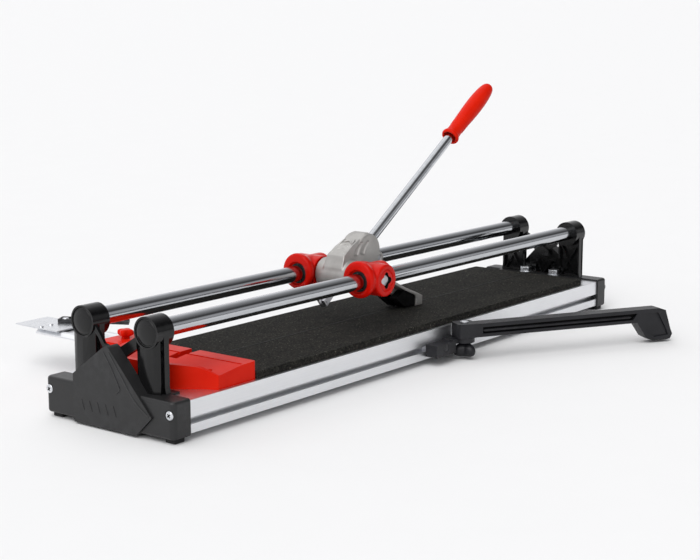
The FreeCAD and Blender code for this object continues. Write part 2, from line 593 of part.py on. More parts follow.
def lever():
    across_all = "2 * hub_half + 2"
    clevis = block(("foot_pin_x - breaker_gap", "-breaker_gap / 2 - slip", "foot_pin_z - 34"),
                   ("foot_pin_x + 40", "breaker_gap / 2 + slip", "foot_pin_z + 14"))
    tools = [clevis,
             rod("y", ("hub_at", "-hub_half - 1", "bar_height"), "sleeve_dia", across_all),
             rod("y", ("foot_pin_x", "-hub_half - 1", "foot_pin_z"), "pin_dia", across_all),
             handle_cylinder("rod_dia", "rod_start - 1", "rod_end"),
             holder_block("holder_half + slip / 2", "0", "hub_dia / 2 + 3", "8")]
    for sign in ("-1", "1"):
        floor, outer = "%s * (neck_half - 3.5)" % sign, "%s * (hub_half + 1)" % sign
        low, high = (outer, floor) if sign == "-1" else (floor, outer)
        for lead, tail in ((10, 20), (26, 36)):
            groove = [("hub_at + %d" % lead, "lever_top - 32"), ("hub_at + %d" % tail, "lever_top - 32"),
                      ("hub_at + %d" % (tail + 5), "lever_top - 22"),
                      ("hub_at + %d" % (tail + 14), "lever_top - 13"),
                      ("hub_at + %d" % (lead + 18), "lever_top - 13"),
                      ("hub_at + %d" % (lead + 6), "lever_top - 22")]
            tools.append(prism("y", groove, low, high))
    named("lever_casting", cut(lever_body(), *tools))
    named("pivot_sleeve", ring("y", ("hub_at", "-hub_half", "bar_height"), "sleeve_dia",
                               "shaft_dia + 2 * running", "2 * hub_half"))
    named("foot_pin", rod("y", ("foot_pin_x", "-pin_half", "foot_pin_z"), "pin_dia",
                          "2 * pin_half"))
    named("handle_rod", handle_cylinder("rod_dia", "rod_start", "rod_end"))
    radius, bore = "grip_dia / 2", "rod_dia / 2"
    low, high = "grip_start", "grip_end"
    outline = [(bore, low), (radius + " - 2", low), (radius + " + 1", low + " + 3"),
               (radius + " - 1.5", low + " + 8"), (radius + " - 2.6", low + " + 22"),
               (radius + " - 0.6", low + " + 55"), (radius, low + " + 80"),
               (radius + " - 0.6", high + " - 34"), (radius + " - 2.4", high + " - 15"),
               (radius + " - 5", high + " - 5"), (radius + " - 9", high + " - 1"),
               ("0", high), ("0", "rod_end"), (bore, "rod_end")]
    turned("hand_grip", outline, handle_point("0"), HANDLE_TURN)


HANDLE_TURN = FreeCAD.Rotation(V(0, 1, 0), 90 - size("handle_lean"))


def handle_point(along):
    """A point on the handle's axis, at a distance from the foot of that axis at the hub."""
    return ("hub_at + handle_drop * sin(handle_lean) + (%s) * cos(handle_lean)" % along, "0",
            "bar_height - handle_drop * cos(handle_lean) + (%s) * sin(handle_lean)" % along)


def handle_cylinder(dia, start, end):
    cylinder = doc.addObject("Part::Cylinder", "HandleRod")
    bind(cylinder, "Radius", "(%s) / 2" % dia)
    bind(cylinder, "Height", "(%s) - (%s)" % (end, start))
    return place(cylinder, handle_point(start), HANDLE_TURN)


# The wheel's holder points forward and a little down from the hub.
WHEEL_TURN = FreeCAD.Rotation(V(0, 1, 0), 270 - size("wheel_lean"))


def holder_point(along, aside="0"):
    """A point at a distance from the hub axis along the holder, and to its upper side."""
    return ("hub_at - (%s) * cos(wheel_lean) - (%s) * sin(wheel_lean)" % (along, aside), "0",
            "bar_height - (%s) * sin(wheel_lean) + (%s) * cos(wheel_lean)" % (along, aside))


def holder_block(half_wide, start, end, half_tall):
    """Box along the holder's direction, centred on it."""
    box = doc.addObject("Part::Box", "HolderBlock")
    bind(box, "Length", "2 * (%s)" % half_tall)
    bind(box, "Width", "2 * (%s)" % half_wide)
    bind(box, "Height", "(%s) - (%s)" % (end, start))
    at_x, _, at_z = holder_point(start, "-(%s)" % half_tall)
    return place(box, (at_x, "-(%s)" % half_wide, at_z), WHEEL_TURN)


def scoring_wheel():
    body = holder_block("holder_half", "sleeve_dia / 2 + 1", "wheel_arm + 6", "6")
    gap = holder_block("holder_gap / 2", "wheel_arm - wheel_dia / 2 - 2", "wheel_arm + 10", "9")
    at_x, _, at_z = holder_point("wheel_arm")
    pin_hole = rod("y", (at_x, "-20", at_z), "axle_dia", "40")
    named("wheel_holder", cut(body, gap, pin_hole))
    named("wheel_axle", rod("y", (at_x, "-holder_half - 1", at_z), "axle_dia", "2 * holder_half + 2"))
    rim = "wheel_dia / 2"
    half = "wheel_thick / 2"
    bore = "axle_dia / 2 + running"
    outline = [(bore, "-(%s)" % half), (rim + " - 3", "-(%s)" % half), (rim, "-0.2"), (rim, "0.2"),
               (rim + " - 3", half), (bore, half)]
    turned("scoring_wheel", outline, (at_x, "0", at_z), ALONG["y"])


def breaker_foot():
    """Arm from the lever's pin that spreads into an arched shell with a hooked toe."""
    low = "(" + PAD_TOP + " + rib_proud + slip)"
    reach = "breaker_reach"
    over = [("foot_pin_x - 5", "foot_pin_z + 8"), ("foot_pin_x + 9", "foot_pin_z + 2"),
            (reach + " - 76", low + " + 49"), (reach + " - 47", low + " + 34.5"),
            (reach + " - 17", low + " + 22.5"), (reach, low + " + 15")]
    under = [(reach + " - 20", low + " + 22.5 - shell"), (reach + " - 49", low + " + 34.5 - shell"),
             (reach + " - 79", low + " + 49 - shell"), ("foot_pin_x + 6", "foot_pin_z - 12"),
             ("foot_pin_x - 7", "foot_pin_z - 7")]
    toe = [(reach, low), (reach + " - 18", low), (reach + " - 17", low + " + 12")]
    blade = prism("y", over + toe + under, "-breaker_gap / 2", "breaker_gap / 2")
    wings = prism("y", over[2:] + toe + under[:3], "-breaker_wide / 2", "breaker_wide / 2")
    spine = [(reach + " - 76", low + " + 46"), (reach + " - 17", low + " + 20"),
             (reach + " - 17", low + " + 8"), (reach + " - 44", low + " + 14"),
             (reach + " - 84", low + " + 36")]
    keel = prism("y", spine, "-breaker_gap / 4", "breaker_gap / 4")
    eye = rod("y", ("foot_pin_x", "-breaker_gap / 2", "foot_pin_z"), "20", "breaker_gap")
    bore = rod("y", ("foot_pin_x", "-breaker_gap", "foot_pin_z"), "pin_dia + 2 * running",
               "2 * breaker_gap")
    named("breaker_foot", cut(fuse(blade, eye, wings, keel), bore))


# ---------------------------------------------------------------- swing arm

ARM_TURN = FreeCAD.Rotation(V(0, 0, 1), size("arm_turn"))


def swing_arm():
    """Drawn along +X from the pivot, then turned about it."""
    bottom = "arm_top - arm_tall"
    side_view = [
        ("0", bottom), ("0", "arm_top"), ("arm_long - 26", "arm_top"), ("arm_long - 14", "arm_top - 4"),
        ("arm_long - 4", "paddle_low + 18"), ("arm_long", "paddle_low + 9"),
        ("arm_long - 4", "paddle_low + 1"), ("arm_long - 12", "paddle_low"),
        ("arm_long - 38", "paddle_low"), ("arm_long - 50", "paddle_low + 6"),
        ("arm_long - 68", bottom),
    ]
    near, far = "-knuckle_dia / 2", "-knuckle_dia / 2 + arm_wide"
    bar = prism("y", side_view, near, far)
    half = "knuckle_dia / 2"
    knuckle = block(("-" + half, "-" + half, "knuckle_low"), (half, half, "knuckle_top"))
    knuckle = rounded(knuckle, 7.0, lambda edge: runs_along(edge, V(0, 0, 1)))
    channel = [("knuckle_dia / 2 + 8", bottom + " + 5"), ("knuckle_dia / 2 + 8", "arm_top - 6"),
               ("arm_long - 68", "arm_top - 6"), ("arm_long - 76", bottom + " + 5")]
    panel = [("arm_long - 58", "arm_top - 7"), ("arm_long - 28", "arm_top - 7"),
             ("arm_long - 12", "paddle_low + 18"), ("arm_long - 8", "paddle_low + 8"),
             ("arm_long - 34", "paddle_low + 6"), ("arm_long - 50", "paddle_low + 16")]
    hole = rod("z", ("0", "0", "0"), "pivot_dia + 2 * running", "80")
    whole = cut(fuse(bar, knuckle), hole,
                prism("y", channel, near + " - 1", near + " + 4"),
                prism("y", panel, near + " - 1", near + " + 3"))
    whole.Placement = FreeCAD.Placement(V(), ARM_TURN)
    for axis, formula in zip("xyz", ("arm_x", "arm_y", "0")):
        bind(whole, ".Placement.Base." + axis, formula)
    named("swing_arm", whole)


def arm_clamp():
    """Clamp block on the base's side with its slot nut, bolt, pivot bolt and lobed knob."""
    side = "-(base_width / 2 - side_inset)"
    outer = side + " - clamp_wide"
    back = "arm_x - knob_dia / 2 - 3"
    middle = "(%s - clamp_long / 2)" % back
    low, top = "(knuckle_low - 8)", "knuckle_low - slip"
    body = block((back + " - clamp_long", outer, "slot_height - 12"),
                 (back, side + " - slip", "slot_height + 7"))
    ear = block((back + " - 8", outer, low), ("arm_x", side + " - slip", top))
    eye = rod("z", ("arm_x", "arm_y", low), "knuckle_dia", "8 - slip")
    trim = block(("arm_x - knuckle_dia", side + " - slip", "0"), ("arm_x + knuckle_dia", "0", "arm_top"))
    hole = rod("z", ("arm_x", "arm_y", "0"), "pivot_dia", "arm_top")
    bolt_hole = rod("y", (middle, outer + " - 1", "slot_height"), "clamp_bolt_dia", "clamp_wide + 2")
    sunk = rod("y", (middle, outer + " - 1", "slot_height"), "clamp_bolt_dia + 6", "5.5")
    named("arm_clamp", cut(fuse(body, ear, eye), trim, hole, bolt_hole, sunk))
    lip = side + " + slot_lip + slip"
    nut = block((middle + " - 20", lip, "slot_height - slot_inner / 2 + slip"),
                (middle + " + 20", side + " + slot_deep - slip", "slot_height + slot_inner / 2 - slip"))
    neck = block((middle + " - 20", side + " - slip", "slot_height - slot_mouth / 2 + slip"),
                 (middle + " + 20", lip + " + 0.5", "slot_height + slot_mouth / 2 - slip"))
    tapped = rod("y", (middle, side + " - 5", "slot_height"), "clamp_bolt_dia", "slot_deep + 9")
    named("clamp_nut", cut(fuse(nut, neck), tapped))
    head = rod("y", (middle, outer + " + 0.5", "slot_height"), "clamp_bolt_dia + 5", "4")
    shank = rod("y", (middle, outer + " + 4", "slot_height"), "clamp_bolt_dia", "clamp_wide + 5")
    named("clamp_bolt", fuse(head, shank))
    collar = "knuckle_top + slip"
    outline = [("0", "foot_height - 0.5"), ("pivot_dia / 2", "foot_height - 0.5"),
               ("pivot_dia / 2", collar), ("6.5", collar), ("6.5", "knuckle_top + 1.6"),
               ("5", "knuckle_top + 2.4"), ("0", "knuckle_top + 2.4")]
    turned("arm_pivot_bolt", outline, ("arm_x", "arm_y", "0"))
    knob = [rod("z", ("arm_x", "arm_y", "5"), "20", low + " - slip - 5")]
    for third in (0, 120, 240):
        turn = FreeCAD.Rotation(V(0, 0, 1), size("wing_turn") + third)
        wing = doc.addObject("Part::Box", "Wing")
        bind(wing, "Length", "knob_dia / 2")
        bind(wing, "Width", "wing_thick")
        bind(wing, "Height", low + " - 10")
        corner = turn.multVec(V(0, -size("wing_thick") / 2, 0))
        knob.append(place(wing, ("arm_x + %f" % corner.x, "arm_y + %f" % corner.y, "7"), turn))
    limit = rod("z", ("arm_x", "arm_y", "0"), "knob_dia - 1", "arm_top")
    bore = rod("z", ("arm_x", "arm_y", "0"), "pivot_dia + 2 * running", "arm_top")
    named("wing_knob", cut(common(fuse(*knob), limit), bore))


# ---------------------------------------------------------------- side rule

def side_rule():
    """Ridged rule with its end plate and rivets, and the guide and knob that hold it."""
    low_x, high_x = "(rule_at - rule_wide / 2)", "(rule_at + rule_wide / 2)"
    top = "(rule_low + rule_thick)"
    section = [(low_x, "rule_low"), (high_x, "rule_low"), (high_x, top), (high_x + " - 6", top),
               (high_x + " - 8", top + " - 2"), (low_x + " + 14", top + " - 2"),
               (low_x + " + 12", top + " - 0.5"), (low_x + " + 6", top + " - 1"),
               (low_x, "rule_low + 2")]
    named("side_rule", prism("y", section, "rule_start", "rule_end"))
    plate = [("rule_end - 48", top), ("rule_end - 48", top + " + end_plate"),
             ("plate_end", top + " + end_plate"), ("plate_end", top + " + 0.4"),
             ("rule_end - 10", top)]
    named("rule_end_plate", prism("x", plate, low_x, high_x + " + 12"))
    outline = [("0", "0"), ("4", "0"), ("3.4", "1.4"), ("0", "2")]
    rivets = []
    for aside in ("20", "1"):
        rivets.append(turned(None, outline, ("rule_at - " + aside, "rule_end - 6", top + " + end_plate")))
    named("rule_rivets", group(*rivets))
    guide = block((low_x + " - 8", "pad_half + 3", "rule_low - 8"),
                  (high_x + " + 8", "guide_end", top + " + guide_tall"))
    guide = rounded(guide, 5.0, lambda edge: runs_along(edge, V(0, 0, 1))
                    and edge.BoundBox.YMin > size("knob_at"))
    over_base = block((low_x + " - 20", "0", "0"),
                      (high_x + " + 20", "base_width / 2 - side_inset + slip", "deck_top"))
    channel = block((low_x + " - slip", "rule_start - slip", "rule_low - slip"),
                    (high_x + " + slip", "guide_end + 5", top + " + slip"))
    bore = rod("z", ("rule_at", "knob_at", top), "lock_dia", "40")
    named("rule_guide", cut(guide, over_base, channel, bore))
    outline = [("0", "0"), ("6", "0"), ("6", "3"), ("12", "4.5"), ("13", "6.5"), ("13", "11"),
               ("11", "13"), ("0", "13.5")]
    turned("rule_lock_knob", outline, ("rule_at", "knob_at", top + " + guide_tall + slip"))
    radius = "(lock_dia / 2 - running)"
    screw = [("0", "0"), (radius, "0"), (radius, "guide_tall - 2 * slip"),
             ("0", "guide_tall - 2 * slip")]
    turned("rule_lock_screw", screw, ("rule_at", "knob_at", top + " + 2 * slip"))


def mitre_bar():
    """Swivelling fence on the rule, drawn along +X from its rivet and turned about it."""
    seat = "(rule_low + rule_thick + end_plate)"
    low = seat + " + slip"
    outline = [("-mitre_end", "-mitre_wide / 2"), ("mitre_long", "-mitre_wide / 2"),
               ("mitre_long - 5", "mitre_wide / 2"), ("-mitre_end", "mitre_wide / 2")]
    bar = prism("z", outline, low, low + " + mitre_tall")
    channel = block(("-mitre_end + 3", "-mitre_wide / 2 + 3", low + " + 3"),
                    ("mitre_long + 1", "mitre_wide / 2 - 3", low + " + mitre_tall + 1"))
    hole = rod("z", ("0", "0", "0"), "mitre_pin + 2 * running", seat + " + 20")
    whole = cut(bar, channel, hole)
    whole.Placement = FreeCAD.Placement(V(), FreeCAD.Rotation(V(0, 0, 1), size("mitre_turn")))
    for axis, formula in zip("xyz", ("mitre_x", "mitre_y", "0")):
        bind(whole, ".Placement.Base." + axis, formula)
    named("mitre_bar", whole)
    head = seat + " + 3.6 + slip"
    outline = [("0", seat), ("mitre_pin / 2", seat), ("mitre_pin / 2", head), ("5.5", head),
               ("4.5", seat + " + 5.6"), ("0", seat + " + 6.2")]
    turned("mitre_rivet", outline, ("mitre_x", "mitre_y", "0"))


base_profile()
rib_and_pads()
support("front_support", False)
support("rear_support", True)
bar_caps()
support_fittings()
guide_bars()
front_stop()
carriage()
lever()
scoring_wheel()
breaker_foot()
swing_arm()
arm_clamp()
side_rule()
mitre_bar()

doc.recompute()
faults = []
for thing in doc.Objects:
    if "Invalid" in thing.State or "Error" in thing.State:
        faults.append("%s (%s): %s" % (thing.Name, thing.Label, thing.State))
for thing in SUBPARTS:
    if thing.Shape.isNull() or not thing.Shape.isValid() or thing.Shape.Volume <= 0:
        faults.append("%s has no valid solid" % thing.Label)
if faults:
    raise RuntimeError("\n".join(faults))

os.makedirs("parts", exist_ok=True)
for thing in SUBPARTS:
    thing.Shape.exportStep("parts/%s.step" % thing.Label)
    box = thing.Shape.BoundBox
    print("%-20s %2d solids  X %8.2f %8.2f  Y %8.2f %8.2f  Z %8.2f %8.2f" % (
        thing.Label, len(thing.Shape.Solids), box.XMin, box.XMax, box.YMin, box.YMax,
        box.ZMin, box.ZMax))
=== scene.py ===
"""Looks of the tile cutter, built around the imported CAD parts.  Metres throughout."""

import json
import math

import bmesh
import bpy
from mathutils import Matrix, Vector, geometry


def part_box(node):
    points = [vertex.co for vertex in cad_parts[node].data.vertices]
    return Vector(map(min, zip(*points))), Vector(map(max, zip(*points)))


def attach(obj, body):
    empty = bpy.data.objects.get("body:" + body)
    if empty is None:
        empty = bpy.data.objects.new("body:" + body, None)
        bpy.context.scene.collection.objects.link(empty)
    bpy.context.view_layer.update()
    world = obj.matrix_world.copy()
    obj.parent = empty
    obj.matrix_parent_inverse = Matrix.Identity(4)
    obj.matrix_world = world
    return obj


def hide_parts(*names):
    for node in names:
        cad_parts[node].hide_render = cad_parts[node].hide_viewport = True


MM = 0.001
CAMERA_AT = (-1.9076, -1.4506, 0.5588)
CAMERA_TARGET = (-0.0453, 0.0, 0.1263)
LENS_MM = 79.33
SENSOR_MM = 36.0
FLOOR_RADIUS = 3000.0
SUPPORTS = (("front_support", -1), ("rear_support", 1))
HANDLE_LEAN = math.radians(33.7)
ARM_TURN = math.radians(-30)
WING_TURN = math.radians(20)

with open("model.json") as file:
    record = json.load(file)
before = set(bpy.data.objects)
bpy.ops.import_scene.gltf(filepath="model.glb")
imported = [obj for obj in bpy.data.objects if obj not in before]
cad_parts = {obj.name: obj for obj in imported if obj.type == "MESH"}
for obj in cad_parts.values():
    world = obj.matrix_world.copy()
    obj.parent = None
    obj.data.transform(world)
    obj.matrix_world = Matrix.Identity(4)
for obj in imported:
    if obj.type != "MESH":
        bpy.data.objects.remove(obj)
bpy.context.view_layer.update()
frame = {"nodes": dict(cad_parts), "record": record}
NODES = frame["nodes"]
SLOT = {row["node"]: row["material_slot"] for row in frame["record"]["subparts"]}
BODY = {
    node: body
    for body, members in frame["record"]["behaviour"]["bodies"].items()
    for node in members
}


# ---------------------------------------------------------------- camera, floor, light


def build_camera():
    data = bpy.data.cameras.new("camera")
    data.lens = LENS_MM
    data.sensor_width = SENSOR_MM
    data.clip_end = 3 * FLOOR_RADIUS
    camera = bpy.data.objects.new("camera", data)
    bpy.context.scene.collection.objects.link(camera)
    camera.location = CAMERA_AT
    target = Vector(CAMERA_TARGET)
    camera.rotation_mode = "QUATERNION"
    camera.rotation_quaternion = (target - camera.location).to_track_quat("-Z", "Y")
    bpy.context.scene.camera = camera


def soft_sun(name, toward, power, spread):
    """Large soft source at infinity, so that the floor is evenly lit."""
    data = bpy.data.lights.new(name, "SUN")
    data.energy = power
    data.angle = math.radians(spread)
    lamp = bpy.data.objects.new(name, data)
    bpy.context.scene.collection.objects.link(lamp)
    lamp.rotation_mode = "QUATERNION"
    lamp.rotation_quaternion = Vector(toward).to_track_quat("-Z", "Y")


def build_world():
    """Studio dome: banks of light and dark flags arranged round the bars' direction."""
    world = bpy.data.worlds.new("studio")
    bpy.context.scene.world = world
    world.use_nodes = True
    tree = world.node_tree
    tree.nodes.clear()

    def math_node(operation, first, second):
        node = tree.nodes.new("ShaderNodeMath")
        node.operation = operation
        for socket, value in zip(node.inputs, (first, second)):
            if isinstance(value, float):
                socket.default_value = value
            else:
                tree.links.new(value, socket)
        return node.outputs[0]

    def grey_ramp(factor, stops):
        ramp = tree.nodes.new("ShaderNodeValToRGB")
        elements = ramp.color_ramp.elements
        for element, (at, grey) in zip(elements, (stops[0], stops[-1])):
            element.position, element.color = at, (grey, grey, grey * 1.02, 1.0)
        for at, grey in stops[1:-1]:
            elements.new(at).color = (grey, grey, grey * 1.02, 1.0)
        tree.links.new(factor, ramp.inputs["Fac"])
        return ramp.outputs["Color"]

    coords = tree.nodes.new("ShaderNodeTexCoord")
    split = tree.nodes.new("ShaderNodeSeparateXYZ")
    tree.links.new(coords.outputs["Generated"], split.inputs[0])
    turn = math_node("ARCTAN2", split.outputs["Z"], split.outputs["Y"])
    share = math_node("DIVIDE", turn, math.pi)
    round_bars = grey_ramp(share, (
        (0.0, 1.0), (0.10, 0.98), (0.27, 0.70), (0.38, 0.50), (0.48, 0.34), (0.56, 0.25),
        (0.63, 0.15), (0.70, 0.07), (0.77, 0.09), (0.83, 0.46), (0.92, 0.50), (0.97, 0.27),
        (1.0, 0.27),
    ))
    front_bank = grey_ramp(split.outputs["Z"], ((0.0, 0.95), (0.35, 0.85), (0.8, 0.55), (1.0, 0.45)))
    facing = tree.nodes.new("ShaderNodeMapRange")
    facing.inputs["From Min"].default_value = 0.25
    facing.inputs["From Max"].default_value = -0.35
    tree.links.new(split.outputs["X"], facing.inputs["Value"])
    blend = tree.nodes.new("ShaderNodeMix")
    blend.data_type = "RGBA"
    tree.links.new(facing.outputs["Result"], blend.inputs["Factor"])
    colours = [socket for socket in blend.inputs if socket.type == "RGBA"]
    tree.links.new(round_bars, colours[0])
    tree.links.new(front_bank, colours[1])
    background = tree.nodes.new("ShaderNodeBackground")
    output = tree.nodes.new("ShaderNodeOutputWorld")
    result = [socket for socket in blend.outputs if socket.type == "RGBA"][0]
    tree.links.new(result, background.inputs["Color"])
    tree.links.new(background.outputs[0], output.inputs["Surface"])


def build_floor():
    mesh = bpy.data.meshes.new("floor")
    bm = bmesh.new()
    bmesh.ops.create_circle(bm, cap_ends=True, segments=96, radius=FLOOR_RADIUS)
    bm.to_mesh(mesh)
    bm.free()
    floor = bpy.data.objects.new("floor", mesh)
    bpy.context.scene.collection.objects.link(floor)
    shader = Look("floor_paper", color=(0.86, 0.86, 0.86), roughness=0.85, specular=0.1)
    grain = shader.noise(9.0, detail=3)
    shader.tint(grain, (0.855, 0.855, 0.855), (0.87, 0.87, 0.87))
    mesh.materials.append(shader.material)


# ---------------------------------------------------------------- materials


class Look:
    """A procedural material under construction."""

    def __init__(self, name, color, roughness, metallic=0.0, specular=0.5):
        self.material = bpy.data.materials.new(name)
        self.material.use_nodes = True
        self.tree = self.material.node_tree
        self.bsdf = self.tree.nodes["Principled BSDF"]
        self.bsdf.inputs["Base Color"].default_value = (*color, 1.0)
        self.bsdf.inputs["Roughness"].default_value = roughness
        self.bsdf.inputs["Metallic"].default_value = metallic
        self.bsdf.inputs["Specular IOR Level"].default_value = specular
        self.coords = self.tree.nodes.new("ShaderNodeTexCoord")
        self.height = None

    def new(self, kind, **settings):
        node = self.tree.nodes.new(kind)
        for key, value in settings.items():
            setattr(node, key, value)
        return node

    def link(self, a, b):
        self.tree.links.new(a, b)

    def placed(self, stretch):
        mapping = self.new("ShaderNodeMapping")
        mapping.inputs["Scale"].default_value = stretch
        self.link(self.coords.outputs["Object"], mapping.inputs["Vector"])
        return mapping.outputs["Vector"]

    def noise(self, scale, detail=4, rough=0.55, stretch=(1, 1, 1)):
        node = self.new("ShaderNodeTexNoise")
        node.inputs["Scale"].default_value = scale
        node.inputs["Detail"].default_value = detail
        node.inputs["Roughness"].default_value = rough
        self.link(self.placed(stretch), node.inputs["Vector"])
        return node.outputs["Fac"]

    def cells(self, scale):
        node = self.new("ShaderNodeTexVoronoi")
        node.inputs["Scale"].default_value = scale
        self.link(self.placed((1, 1, 1)), node.inputs["Vector"])
        return node.outputs["Distance"]

    def ramp(self, factor, *stops):
        """Map a factor through (position, value) stops."""
        node = self.new("ShaderNodeValToRGB")
        elements = node.color_ramp.elements
        elements[0].position, elements[0].color = stops[0][0], (*[stops[0][1]] * 3, 1)
        elements[1].position, elements[1].color = stops[-1][0], (*[stops[-1][1]] * 3, 1)
        for at, value in stops[1:-1]:
            elements.new(at).color = (value, value, value, 1)
        self.link(factor, node.inputs["Fac"])
        return node.outputs["Color"]

    def mixed(self, factor, low, high):
        node = self.new("ShaderNodeMix", data_type="RGBA")
        self.link(factor, node.inputs["Factor"])
        for socket, value in (("A", low), ("B", high)):
            target = [s for s in node.inputs if s.name == socket and s.type == "RGBA"][0]
            if isinstance(value, tuple):
                target.default_value = (*value, 1.0)
            else:
                self.link(value, target)
        return [s for s in node.outputs if s.type == "RGBA"][0]

    def tint(self, factor, low, high):
        self.link(self.mixed(factor, low, high), self.bsdf.inputs["Base Color"])

    def combined(self, operation, first, second):
        node = self.new("ShaderNodeMath", operation=operation)
        self.link(first, node.inputs[0])
        if isinstance(second, float):
            node.inputs[1].default_value = second
        else:
            self.link(second, node.inputs[1])
        return node.outputs[0]

    def vary_roughness(self, factor, low, high):
        node = self.new("ShaderNodeMapRange")
        node.inputs["To Min"].default_value = low
        node.inputs["To Max"].default_value = high
        self.link(factor, node.inputs["Value"])
        self.link(node.outputs["Result"], self.bsdf.inputs["Roughness"])

    def bump(self, factor, depth, strength=0.5):
        """Add a relief of a depth in metres on top of what is there."""
        node = self.new("ShaderNodeBump")
        node.inputs["Strength"].default_value = strength
        node.inputs["Distance"].default_value = depth
        self.link(factor, node.inputs["Height"])
        if self.height is not None:
            self.link(self.height, node.inputs["Normal"])
        self.height = node.outputs["Normal"]
        self.link(self.height, self.bsdf.inputs["Normal"])

    def edge_wear_and_highlight(self, low=0.52, high=0.62):
        """1 on convex edges, 0 on flats, broken up by noise; it marks rubbed wear and painted edge
        highlights together.
        """
        surface = self.new("ShaderNodeNewGeometry")
        edges = self.ramp(surface.outputs["Pointiness"], (low, 0.0), (high, 1.0))
        patches = self.ramp(self.noise(90.0, detail=6), (0.42, 0.0), (0.68, 1.0))
        return self.combined("MULTIPLY", edges, patches)


def black_moulding(name, base, lift, rough, shine, grain=1.0):
    look = Look(name, base, rough, specular=shine)
    blotch = look.noise(26.0, detail=5)
    colour = look.mixed(look.ramp(blotch, (0.35, 0.0), (0.7, 1.0)), base, lift)
    # Convex edges lighter: rubbed wear and a painted edge highlight.
    look.tint(look.edge_wear_and_highlight(), colour, (0.024, 0.024, 0.0255))
    look.vary_roughness(look.noise(140.0, detail=4), rough - 0.06, rough + 0.08)
    look.bump(look.noise(900.0, detail=3), 0.00022 * grain, 0.45)
    look.bump(look.noise(160.0, detail=3), 0.00030, 0.12)
    return look.material


def red_moulding(name, low, high, rough, shine):
    look = Look(name, low, rough, specular=shine)
    blotch = look.noise(34.0, detail=4)
    look.tint(look.ramp(blotch, (0.3, 0.0), (0.75, 1.0)), low, high)
    look.vary_roughness(look.noise(110.0, detail=5), rough - 0.05, rough + 0.08)
    look.bump(look.noise(420.0, detail=3), 0.00016, 0.14)
    look.bump(look.noise(70.0, detail=2), 0.0006, 0.10)
    return look.material


def tile_pad():
    """Black rubber granulate with paler crumbs in it."""
    look = Look("granulate_pad", (0.012, 0.012, 0.012), 0.92, specular=0.12)
    crumbs = look.noise(300.0, detail=5, rough=0.75)
    blotch = look.noise(30.0, detail=5)
    patches = look.ramp(blotch, (0.35, 0.0), (0.7, 1.0))
    dark = look.mixed(patches, (0.007, 0.007, 0.007), (0.015, 0.0145, 0.013))
    base = look.mixed(look.ramp(crumbs, (0.47, 0.0), (0.66, 1.0)), dark, (0.050, 0.048, 0.040))
    flecks = look.ramp(look.cells(210.0), (0.14, 1.0), (0.24, 0.0))
    sparse = look.ramp(look.noise(120.0, detail=3), (0.50, 0.0), (0.58, 1.0))
    look.tint(look.combined("MULTIPLY", flecks, sparse), base, (0.13, 0.125, 0.10))
    look.vary_roughness(crumbs, 0.82, 1.0)
    look.bump(crumbs, 0.0009, 0.6)
    look.bump(look.cells(260.0), 0.0005, 0.3)
    return look.material


def scaled(colour, share):
    return tuple(min(1, value * share) for value in colour)


def extruded_aluminium():
    base, rough = (0.80, 0.81, 0.83), 0.34
    look = Look("extruded_aluminium", base, rough, metallic=1.0)
    lines = look.noise(520.0, detail=5, stretch=(0.004, 1, 1))
    blotch = look.noise(11.0, detail=4, stretch=(0.4, 1, 1))
    fine = look.mixed(look.ramp(lines, (0.3, 0.0), (0.7, 1.0)), scaled(base, 0.93), base)
    look.tint(look.ramp(blotch, (0.4, 0.0), (0.75, 1.0)), fine, scaled(base, 1.05))
    look.vary_roughness(lines, rough - 0.06, rough + 0.08)
    look.bump(lines, 0.00008, 0.35)
    look.bump(look.noise(1500.0, detail=2), 0.00004, 0.25)
    return look.material


def chromed():
    base, rough = (0.55, 0.565, 0.59), 0.10
    look = Look("chromed_bar", base, rough, metallic=1.0)
    grinding = look.noise(420.0, detail=5, stretch=(0.01, 1, 1))
    smudge = look.noise(9.0, detail=6, stretch=(0.8, 3, 3))
    streaks = look.ramp(grinding, (0.32, 0.0), (0.68, 1.0))
    streaked = look.mixed(streaks, scaled(base, 0.84), scaled(base, 1.08))
    look.tint(look.ramp(smudge, (0.4, 0.0), (0.75, 1.0)), streaked, scaled(base, 0.92))
    average = look.combined("MULTIPLY", look.combined("ADD", grinding, smudge), 0.5)
    look.vary_roughness(average, rough - 0.05, rough + 0.10)
    look.bump(grinding, 0.00002, 0.35)
    return look.material


def cast_metal(name, low, high, rough, metallic=0.65):
    look = Look(name, low, rough, metallic=metallic)
    sand = look.noise(900.0, detail=5, rough=0.7)
    blotch = look.noise(45.0, detail=6)
    colour = look.mixed(look.ramp(blotch, (0.3, 0.0), (0.72, 1.0)), low, high)
    # Convex edges lighter: rubbed wear and a painted edge highlight.
    look.tint(look.edge_wear_and_highlight(0.51, 0.60), colour, scaled(high, 1.35))
    look.vary_roughness(look.noise(190.0, detail=4), rough - 0.08, rough + 0.10)
    look.bump(sand, 0.00030, 0.35)
    look.bump(look.noise(150.0, detail=3), 0.0005, 0.12)
    return look.material


def plated(name, low, high, rough):
    """Bright plating with the slight clouds and fine scratches of handled fasteners."""
    look = Look(name, low, rough, metallic=1.0)
    clouds = look.noise(160.0, detail=5)
    scratches = look.noise(1400.0, detail=3, stretch=(1, 0.06, 1))
    look.tint(look.ramp(clouds, (0.3, 0.0), (0.7, 1.0)), low, high)
    look.vary_roughness(scratches, rough - 0.08, rough + 0.12)
    look.bump(scratches, 0.00003, 0.3)
    return look.material


def soft_rubber():
    look = Look("moulded_rubber", (0.014, 0.014, 0.014), 0.75, specular=0.3)
    dust = look.noise(80.0, detail=6)
    dusty = look.ramp(dust, (0.45, 0.0), (0.75, 1.0))
    look.tint(dusty, (0.012, 0.012, 0.012), (0.032, 0.031, 0.030))
    look.vary_roughness(look.noise(320.0, detail=3), 0.62, 0.85)
    look.bump(look.noise(1600.0, detail=2), 0.0001, 0.3)
    return look.material


